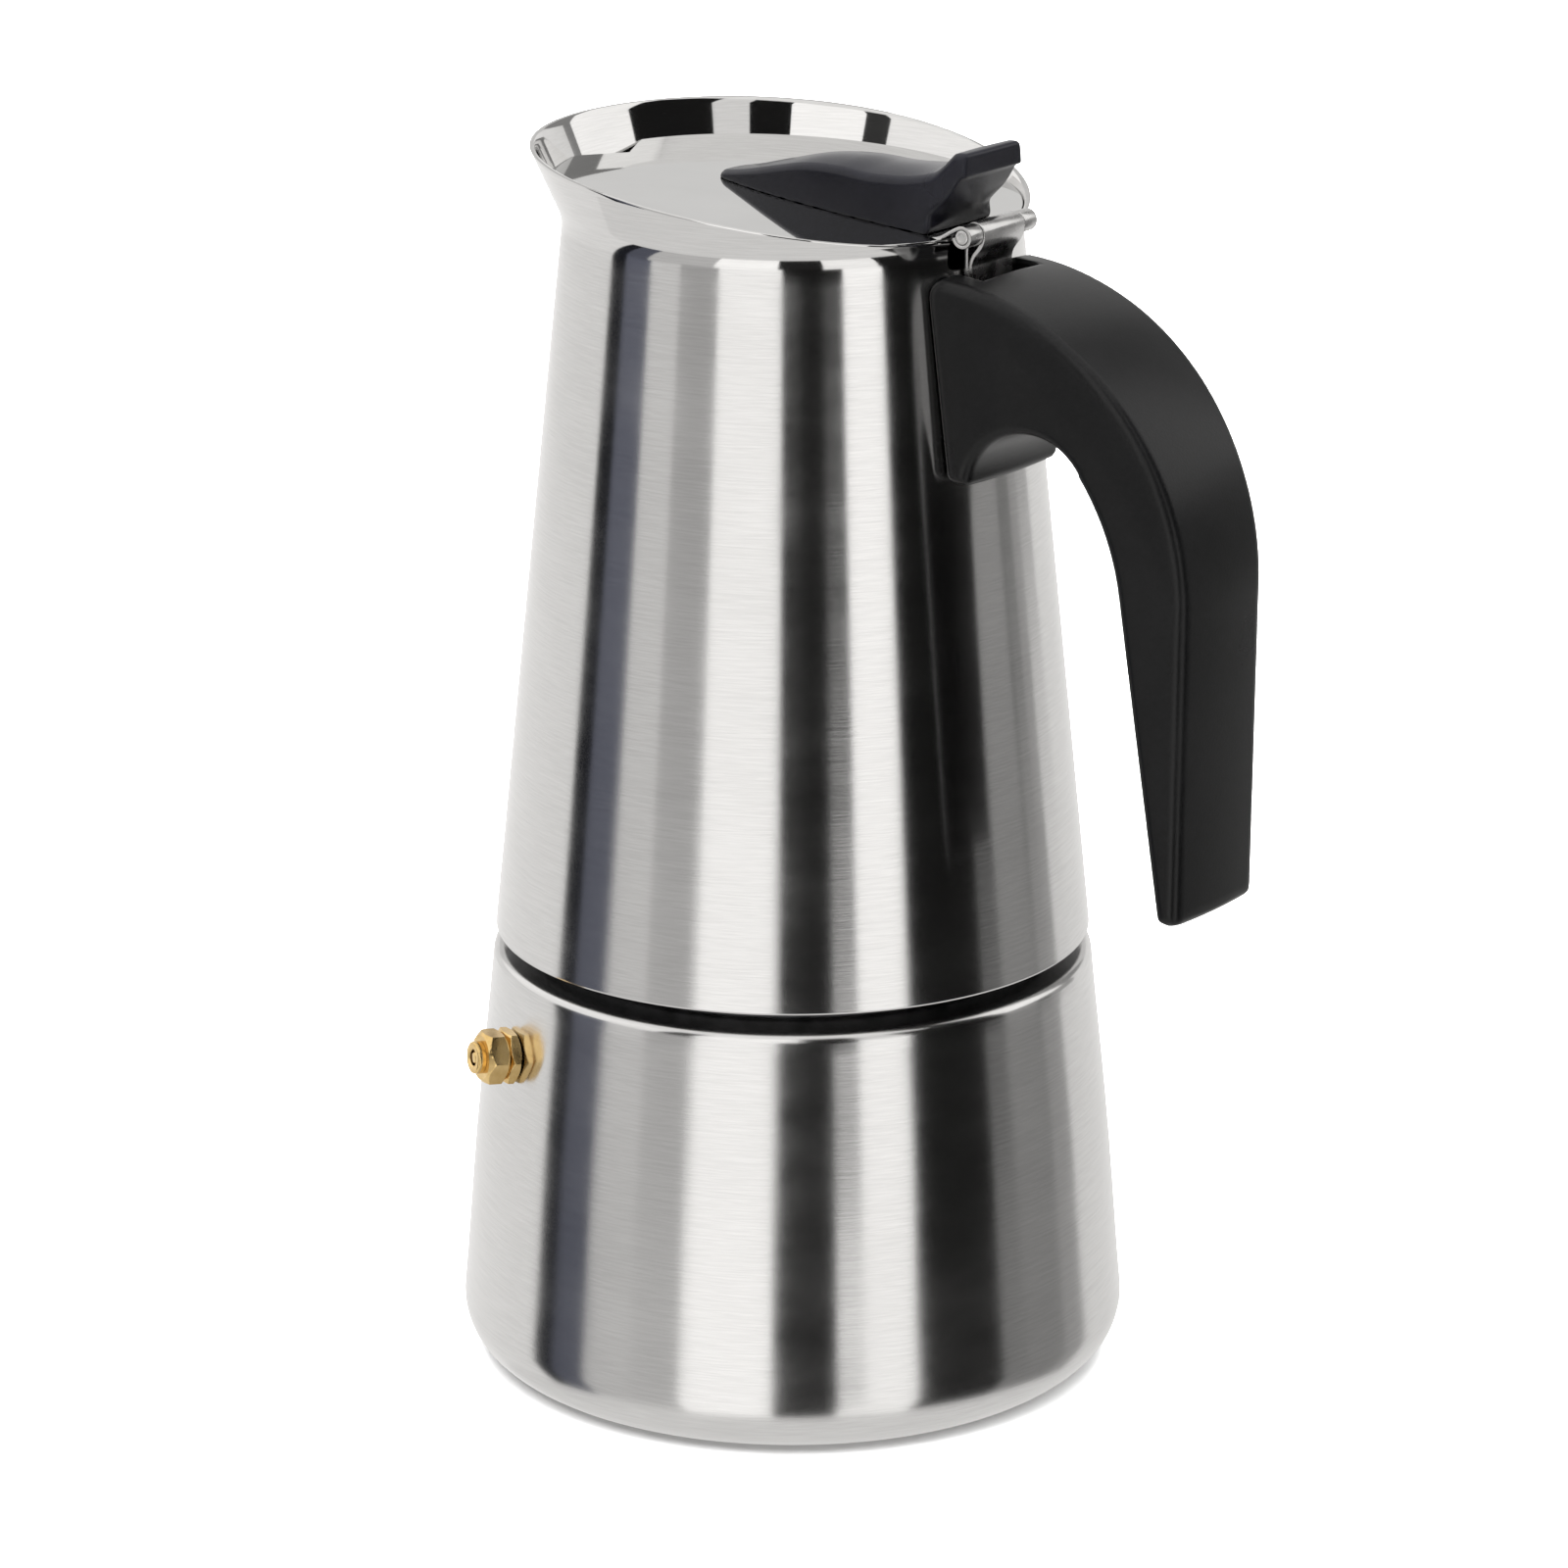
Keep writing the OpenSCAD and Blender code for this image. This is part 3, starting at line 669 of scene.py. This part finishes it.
# The rod's ends are dished in the middle and rounded at the rim
pin_loop = [(0, 0.12), (0.55, 0.1), (0.62, 0.0), (pin_r - 0.2, 0.0),
            *arc((pin_r - 0.2, 0.2), 0.2, -60, 0, 4)]
pin_length = pin_high.y - pin_low.y
pin_loop += [(r, pin_length - z) for r, z in pin_loop[::-1]]
make("hinge_rod", revolve(lambda a: pin_loop, 48), "collector", steel_small,
     ["hinge_pin"],
     place=Matrix.Translation((pin_x, pin_low.y, pin_z)) @ Matrix.Rotation(-math.pi / 2, 4, "X"))

# ---------------------------------------------------------------- lid

LID_Z, LID_TILT, LID_WALL = 177.35, math.radians(3.75), 0.5
LID_X, LID_R = -0.85, 33.95
POUR_X, POUR_SLOPE = -30.0, 2.0
STRAP_GAP = 5.15
SLIT_X, SLIT_CORNER = 31.0, 0.6
EAR_END = 112  # degrees round the pin where the ear's sheet meets it
lid_place = Matrix.Translation((0, 0, LID_Z)) @ Matrix.Rotation(LID_TILT, 4, "Y")


def lid_outline():
    """Disc with a pouring notch at -X and a gap for the strap, its corners cut, at +X."""
    gap_angle = math.degrees(math.asin(STRAP_GAP / LID_R))
    mouth = next(a for a in [150 + k * 0.05 for k in range(700)]
                 if LID_R * math.sin(math.radians(a)) <= POUR_SLOPE * (
                     POUR_X - LID_X - LID_R * math.cos(math.radians(a))))
    upper = arc((LID_X, 0), LID_R, gap_angle, mouth, 150)
    lower = [(x, -y) for x, y in upper[::-1]]
    slit = [(SLIT_X + SLIT_CORNER, -STRAP_GAP), (SLIT_X, -STRAP_GAP + SLIT_CORNER),
            (SLIT_X, STRAP_GAP - SLIT_CORNER), (SLIT_X + SLIT_CORNER, STRAP_GAP)]
    vertex = [(POUR_X - 0.45, 0.9), (POUR_X - 0.12, 0.35), (POUR_X, 0.0), (POUR_X - 0.12, -0.35),
              (POUR_X - 0.45, -0.9)]
    return upper + vertex + lower + slit


def plate(outline, z0, z1):
    """A flat plate of that outline between two heights."""
    n = len(outline)
    verts = [(x, y, z0) for x, y in outline] + [(x, y, z1) for x, y in outline]
    faces = [(i, (i + 1) % n, n + (i + 1) % n, n + i) for i in range(n)]
    return verts, faces + [tuple(range(n)), tuple(range(n, 2 * n))]


make("lid_sheet", plate(lid_outline(), -LID_WALL, 0.0), "lid", steel_mirror, ["lid"],
     place=lid_place, bevel=0.13)

ear_r = pin_r + 0.07 + LID_WALL / 2
off = math.radians(EAR_END)
ear_from = lid_place @ Vector((28.0, 0, -LID_WALL / 2))
ear_bend = lid_place @ Vector((30.0, 0, -LID_WALL / 2))
ear_on = (pin_x + ear_r * math.cos(off), pin_z + ear_r * math.sin(off))
ear_path = (
    [(ear_from.x, ear_from.z)]
    + bezier((ear_bend.x, ear_bend.z), (ear_bend.x + 2.0, ear_bend.z - 0.13),
             (ear_on[0] - 1.9, ear_on[1] - 0.75), ear_on, 14)
    + arc((pin_x, pin_z), ear_r, EAR_END, -172, 44)[1:]
)
for side, name in ((-1, "lid_ear_right"), (1, "lid_ear_left")):
    y = sorted((side * STRAP_GAP, side * (pin_length / 2 - 0.05)))
    make(name, ribbon(ear_path, LID_WALL, y[0], y[1]), "lid", steel_small, ["lid"])

# ---------------------------------------------------------------- knob

NOSE_X, REAR_X, REAR_HALF = knob_low.x, 28.9, 8.0
LEDGE_X, LEDGE_TOP = knob_high.x, knob_high.z
KNOB_GRID = 0.22
knob_top = spline([(NOSE_X - 0.1, 177.7), (NOSE_X + 0.2, 178.75), (-11.0, 179.2), (-7.0, 180.05),
                   (-0.5, 181.75), (6.0, 183.25), (12.2, 183.7), (18.0, 183.5), (24.0, 183.85),
                   (28.0, 184.6), (30.9, 185.8), (32.9, LEDGE_TOP - 0.15)], 8)
knob_side = (
    [(NOSE_X - 0.1, 172.0)] + knob_top
    + [(33.6, LEDGE_TOP)] + arc((LEDGE_X - 0.7, LEDGE_TOP - 0.7), 0.7, 80, 0, 6)
    + [(LEDGE_X, 184.5)] + arc((LEDGE_X - 0.35, 184.35), 0.35, 0, -90, 4)
    + [(LEDGE_X - 0.7, 183.9), (LEDGE_X - 1.15, 183.4), (REAR_X, 175.2), (REAR_X - 2.2, 172.0)]
)
NOSE_R = 3.2
half_plan = (arc((NOSE_X + NOSE_R, 0.0), NOSE_R, 180, 112, 12)
             + spline([(-7.4, 3.85), (-2.0, 5.15), (6.0, 6.4), (16.0, 7.4), (REAR_X, REAR_HALF - 0.05),
                       (LEDGE_X + 4, REAR_HALF)], 6))
knob_plan = half_plan + [(x, -y) for x, y in half_plan[:0:-1]]


def knob_field(x, y, z):
    """The thumb lever: its side outline and its plan, crowned along the top."""
    lid_top = LID_Z - np.tan(LID_TILT) * x + 0.05
    rise = np.maximum(z - lid_top, 0)
    ledge = smooth(x, 29.0, 33.0)
    plan = outline_distance(x, y, knob_plan) + 0.085 * rise
    crown = (1.0 * (1 - ledge) + 0.1 * ledge) * (np.minimum(np.abs(y), 8) / 7.0) ** 2
    side = (outline_distance(x, z, knob_side)
            + crown * smooth(z - lid_top, 0.3, 3.0) * smooth(34.6 - x, 0, 2.5))
    edge = 0.95 - 0.4 * smooth(x - (REAR_X + (z - 175.2) * 0.7), -3.0, -1.0)
    return np.maximum(both(side, plan, edge), lid_top - z)


make("thumb_knob",
     moulded(knob_field, (NOSE_X, -REAR_HALF, 175.0), (LEDGE_X, REAR_HALF, LEDGE_TOP), KNOB_GRID),
     "lid", black_knob, ["knob"], sharp=50)

# ---------------------------------------------------------------- handle

REACH = handle_high.x
shoulder = (REACH - 42.7, 127.9)
leg_arc = (REACH - 47.3, 123.4)
arch = (48.6, 140.2)
ROOT_TOP, ROOT_FOOT, ROOT_HALF = 170.6, 140.9, 12.0
handle_side = (
    arc((34.6, ROOT_TOP - 3.2), 3.2, 180, 90, 8)
    + arc(shoulder, 42.7, 90, 0, 90)
    + [(REACH - 0.3, 84.0), (REACH - 0.45, 82.9), (REACH - 1.0, 82.25), (REACH - 2.4, 81.9),
       (REACH - 3.8, 82.2), (REACH - 4.45, 82.8), (REACH - 4.6, 83.6)]
    + arc(leg_arc, 36.0, 8.5, 37.5, 36)
    + arc(arch, 9.4, 33, 168, 40)
    + [(39.3, 141.6), (38.7, ROOT_FOOT)]
    + arc((36.7, ROOT_FOOT + 2.0), 2.0, 270, 180, 6)
)
# Half width of the handle at a height
width_z = [(80.0, 7.9), (86.0, 8.45), (96.0, 8.85), (105.0, 9.2), (115.0, 9.6), (125.0, 9.95),
           (135.0, 10.25), (143.0, 10.5), (150.0, 10.85), (157.0, 11.3), (165.0, 11.7), (172.0, 12.0)]
SLOT_HALF, SLOT_X, SLOT_Z = 7.0, 38.2, 160.0
SCREW_X, SCREW_SEAT, SCREW_TOP = 46.0, 153.05, 162.0
RECESS_R, BORE_R = 3.6, 2.2
GRIP_GRID = 0.45


def handle_field(x, y, z):
    """The handle: its side outline and width, less the skin, the strap's slot and the bore."""
    by_height = np.interp(z, *zip(*width_z))
    by_reach = 12.0 - 0.055 * np.maximum(x - 38.0, 0)
    half = np.minimum(np.maximum(by_height, by_reach) + 0.35, 12.0)
    side = outline_distance(x, z, handle_side) + 0.3 * (np.minimum(np.abs(y), 12) / 10.0) ** 2
    body = both(side, np.abs(y) - half + 0.012 * (12 - half) * np.abs(x - 70) / 10, 1.7)
    ring = np.hypot(x, y)
    body = both(body, (THROAT_R + np.tan(cone) * (THROAT_Z - z) + 0.1) - ring, 0.25)
    slot = np.maximum(np.maximum(np.abs(y) - SLOT_HALF, x - SLOT_X), SLOT_Z - z)
    body = cut(body, slot, 0.35)
    bore = np.hypot(x - SCREW_X, y)
    recess = np.maximum(bore - RECESS_R, z - SCREW_SEAT)
    return cut(body, np.minimum(recess, np.maximum(bore - BORE_R, z - SCREW_TOP)), 0.2)


make("grip", moulded(handle_field, (30, -ROOT_HALF, 81), (REACH, ROOT_HALF, ROOT_TOP), GRIP_GRID),
     "collector", black_grip, ["handle"], sharp=50)

# ---------------------------------------------------------------- safety valve, along its own axis

# The valve's own frame has the boiler's wall at 0 and +Z outward
CAP_MIDDLE = 5.85
HEX_R = 4.3
axis = Vector(joints["valve_push"]["axis"])
cap_low, cap_high = span("valve_cap")
valve_place = (Matrix.Translation((cap_low + cap_high) / 2 - axis * CAP_MIDDLE)
               @ axis.to_track_quat("Z", "Y").to_matrix().to_4x4())


def hex_loop(profile, radius):
    """Profile of (r, z) trimmed to a hexagon of that corner radius."""
    def loop(angle):
        flat = radius * math.cos(math.pi / 6) / math.cos((angle % (math.pi / 3)) - math.pi / 6)
        return [(min(r, flat), z) for r, z in profile]
    return loop


def rows(a, b, n=8):
    """Points from a to just before b, so that the trim to a hexagon has rows to move."""
    return [(a[0] + (b[0] - a[0]) * i / n, a[1] + (b[1] - a[1]) * i / n) for i in range(n)]


nut_profile = ([(2.6, 0.1)] + rows((3.55, 0.1), (HEX_R, 0.5)) + rows((HEX_R, 0.5), (HEX_R, 1.4), 2)
               + rows((HEX_R, 1.4), (3.55, 1.8)) + [(3.55, 1.8), (2.6, 1.8)])
make("valve_collar", revolve(hex_loop(nut_profile, HEX_R), 144), "boiler", brass,
     ["valve_nut"], place=valve_place, sharp=20)
body_profile = ([(0.9, -5.0), (2.45, -5.0), (2.55, -4.8), (2.55, 1.8), (3.3, 1.85), (3.3, 2.2)]
                + rows((3.7, 2.2), (HEX_R, 2.5)) + rows((HEX_R, 2.5), (HEX_R, 4.3), 3)
                + rows((HEX_R, 4.3), (3.3, 5.2)) + [(3.3, 5.2), (1.9, 5.2), (1.9, 3.0), (0.9, 3.0)])
make("valve_hex", revolve(hex_loop(body_profile, HEX_R - 0.1), 144), "boiler", brass,
     ["valve_body"], place=valve_place, sharp=20)
cap_profile = ([(1.2, 5.21), (2.35, 5.21), (2.4, 5.3), (2.4, 6.1)] + arc((2.05, 6.15), 0.35, 0, 90, 5)
               + [(1.45, 6.5), (1.2, 6.3)])
make("valve_end", revolve(lambda a: cap_profile, 72), "boiler", brass, ["valve_cap"],
     place=valve_place)
pin_profile = ([(0, -6.5), (0.7, -6.45), (0.85, -6.3), (0.85, 3.05), (1.6, 3.05), (1.6, 3.65),
                (0.85, 3.65), (0.85, 6.1)] + arc((0.6, 6.05), 0.25, 0, 80, 4) + [(0, 6.3)])
make("relief_pin", revolve(lambda a: pin_profile, 48), "valve_pin", brass, ["valve_plunger"],
     place=valve_place)


def coil(radius, wire, z0, z1, turns):
    """A coil spring of wire of that radius."""
    steps = int(turns * 32)
    m = 10
    verts = []
    for i in range(steps + 1):
        a = 2 * math.pi * turns * i / steps
        z = z0 + (z1 - z0) * i / steps
        for k in range(m):
            b = 2 * math.pi * k / m
            r = radius + wire * math.cos(b)
            verts.append((r * math.cos(a), r * math.sin(a), z + wire * math.sin(b)))
    faces = [(i * m + k, (i + 1) * m + k, (i + 1) * m + (k + 1) % m, i * m + (k + 1) % m)
             for i in range(steps) for k in range(m)]
    return verts, faces + [tuple(range(m)), tuple(range(len(verts) - m, len(verts)))]


spring = make("relief_spring", coil(1.35, 0.13, 3.96, 4.94, 2.6), "boiler", spring_wire,
              ["valve_spring"], place=valve_place)
# The spring's outer end, against the cap, stays where it is when the pin moves
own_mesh(spring)

# ---------------------------------------------------------------- screws under the lid

SCREWS_X = (4.0, 18.0)
screw_profile = [(0, -1.5), (0.9, -1.47), (1.8, -1.25), (2.5, -0.85), (2.78, -0.4), (2.8, -0.06),
                 (1.45, -0.05), (1.45, 4.4), (0, 4.6)]
screw_meshes = [moved(revolve(lambda a: screw_profile, 64), Matrix.Translation((x, 0, -LID_WALL)))
                for x in SCREWS_X]
make("knob_fixings", join(*screw_meshes), "lid", steel_small, ["knob_screws"],
     place=lid_place)

# ---------------------------------------------------------------- stage: floor, world, lights, camera

FLOOR_R = 9.0  # metres
FLOOR_GREY = 0.86
FLOOR_ROUGHNESS = 0.7
WORLD_LIGHT = 0.6
floor_mesh = bpy.data.meshes.new("floor")
bm = bmesh.new()
bmesh.ops.create_circle(bm, cap_ends=True, radius=FLOOR_R, segments=96)
bm.to_mesh(floor_mesh)
bm.free()
floor = bpy.data.objects.new("floor", floor_mesh)
bpy.context.scene.collection.objects.link(floor)
paper = bpy.data.materials.new("paper")
paper.use_nodes = True
paper_shader = paper.node_tree.nodes["Principled BSDF"]
paper_shader.inputs["Base Color"].default_value = (FLOOR_GREY, FLOOR_GREY, FLOOR_GREY, 1)
paper_shader.inputs["Roughness"].default_value = FLOOR_ROUGHNESS
floor_mesh.materials.append(paper)
floor.visible_glossy = False

world = bpy.data.worlds.new("studio")
bpy.context.scene.world = world
world.use_nodes = True
sky = world.node_tree.nodes["Background"]
sky.inputs["Color"].default_value = (1, 1, 1, 1)
sky.inputs["Strength"].default_value = WORLD_LIGHT

# The default transform turns bright highlights grey
bpy.context.scene.view_settings.view_transform = "Standard"

# The camera that was solved from the photograph: metres, radians, and millimetres for the lens
VIEW_TURN = math.radians(36.5)
VIEW_TILT = math.radians(17.19)
VIEW_FROM = (0.4845, -0.6547, 0.3395)
camera_data = bpy.data.cameras.new("camera")
camera_data.lens = 131.55
camera_data.sensor_width = 36.0
camera_data.shift_x = -0.0057
camera_data.clip_end = 50
camera = bpy.data.objects.new("camera", camera_data)
camera.location = VIEW_FROM
camera.rotation_euler = (math.pi / 2 - VIEW_TILT, 0, VIEW_TURN)
bpy.context.scene.collection.objects.link(camera)
bpy.context.scene.camera = camera

# Cards round the pot, in rings of different height. Each runs from one bearing to the next as
# seen from the camera (degrees, + to its right), with the brightness the steel sees there.
# The boiler mirrors the lowest ring, the collector the next, the lid and its mouth the highest
RING = 2.8
TOP = 3.4
BOTTOM = -2.0
CARD_STEP = 3  # degrees between a card's columns
WARM = (1, 0.99, 0.975)
COOL = (0.84, 0.88, 1.12)  # for the dim cards at the far left, where the steel looks bluish
rings = [
    (BOTTOM, -0.37, [
        (-180, -99, 1.0), (-99, -90, 0.02), (-90, -76, 0.13), (-76, -39, 0.66), (-39, -7, 1.45),
        (-7, 15, 0.02), (15, 43, 1.3), (43, 76, 0.012), (76, 107, 0.27), (107, 120, 0.4),
        (120, 180, 0.9)]),
    (-0.37, 0.7, [
        (-180, -99, 0.95), (-99, -89, 0.012), (-89, -73, 0.17), (-73, -56, 0.8), (-56, -36, 0.5),
        (-36, -5, 1.3), (-5, 24, 0.012), (24, 44, 1.45), (44, 85, 0.008), (85, 103, 0.36),
        (103, 112, 0.2), (112, 130, 0.4), (130, 180, 0.95)]),
    (0.7, TOP, [
        (-180, -150, 0.71), (-150, -52, 1.25), (-52, -38, 0.05), (-38, 3, 1.45), (3, 25, 0.012),
        (25, 44, 0.95), (44, 87, 0.012), (87, 124, 1.35), (124, 150, 0.3), (150, 180, 0.71)]),
]


def card(name, points, faces, glow, color=WARM):
    """A glowing card that only the steel and the plastic mirror."""
    mesh = bpy.data.meshes.new(name)
    mesh.from_pydata(points, [], faces)
    m = bpy.data.materials.new(name)
    m.use_nodes = True
    shader = m.node_tree.nodes["Principled BSDF"]
    shader.inputs["Base Color"].default_value = (0, 0, 0, 1)
    shader.inputs["Specular IOR Level"].default_value = 0
    shader.inputs["Emission Color"].default_value = (*color, 1)
    shader.inputs["Emission Strength"].default_value = glow
    mesh.materials.append(m)
    piece = bpy.data.objects.new(name, mesh)
    bpy.context.scene.collection.objects.link(piece)
    piece.visible_camera = False
    piece.visible_diffuse = False
    piece.visible_shadow = False


for low, high, cards in rings:
    for start, end, level in cards:
        count = max(2, round((end - start) / CARD_STEP))
        points = []
        for i in range(count + 1):
            a = VIEW_TURN + math.radians(start + (end - start) * i / count)
            points += [(math.sin(a) * RING, -math.cos(a) * RING, z) for z in (low, high)]
        card(f"card_{low:+.1f}_{start}".replace("+", "p"), points,
             [(2 * i, 2 * i + 1, 2 * i + 3, 2 * i + 2) for i in range(count)], level,
             COOL if start < -70 and level < 0.2 else WARM)
for name, z, level in (("card_below", BOTTOM, 0.9), ("card_above", TOP, 1.1)):
    turns = [math.radians(t) for t in range(0, 360, 6)]
    circle = [(RING * math.cos(t), RING * math.sin(t), z) for t in turns]
    card(name, circle, [tuple(range(len(circle)))], level)

# Soft light for the floor and the plastic: bearing from the camera and height above the floor
# in degrees, side of the lamp in metres, watts
LAMP_FAR = 2.6
lamps = (("key", -40, 58, 1.6, 90), ("fill", 50, 50, 1.6, 50), ("top", 0, 89, 2.4, 190),
         ("back", 165, 40, 1.6, 80))
for name, turn, tilt, size, power in lamps:
    a = VIEW_TURN + math.radians(turn)
    t = math.radians(tilt)
    at = Vector((math.sin(a) * math.cos(t), -math.cos(a) * math.cos(t), math.sin(t))) * LAMP_FAR
    light = bpy.data.lights.new(name, "AREA")
    light.shape = "SQUARE"
    light.size = size
    light.energy = power
    lamp = bpy.data.objects.new(name, light)
    lamp.location = at
    lamp.rotation_euler = (-at).to_track_quat("-Z", "Y").to_euler()
    lamp.visible_camera = False
    lamp.visible_glossy = False
    bpy.context.scene.collection.objects.link(lamp)
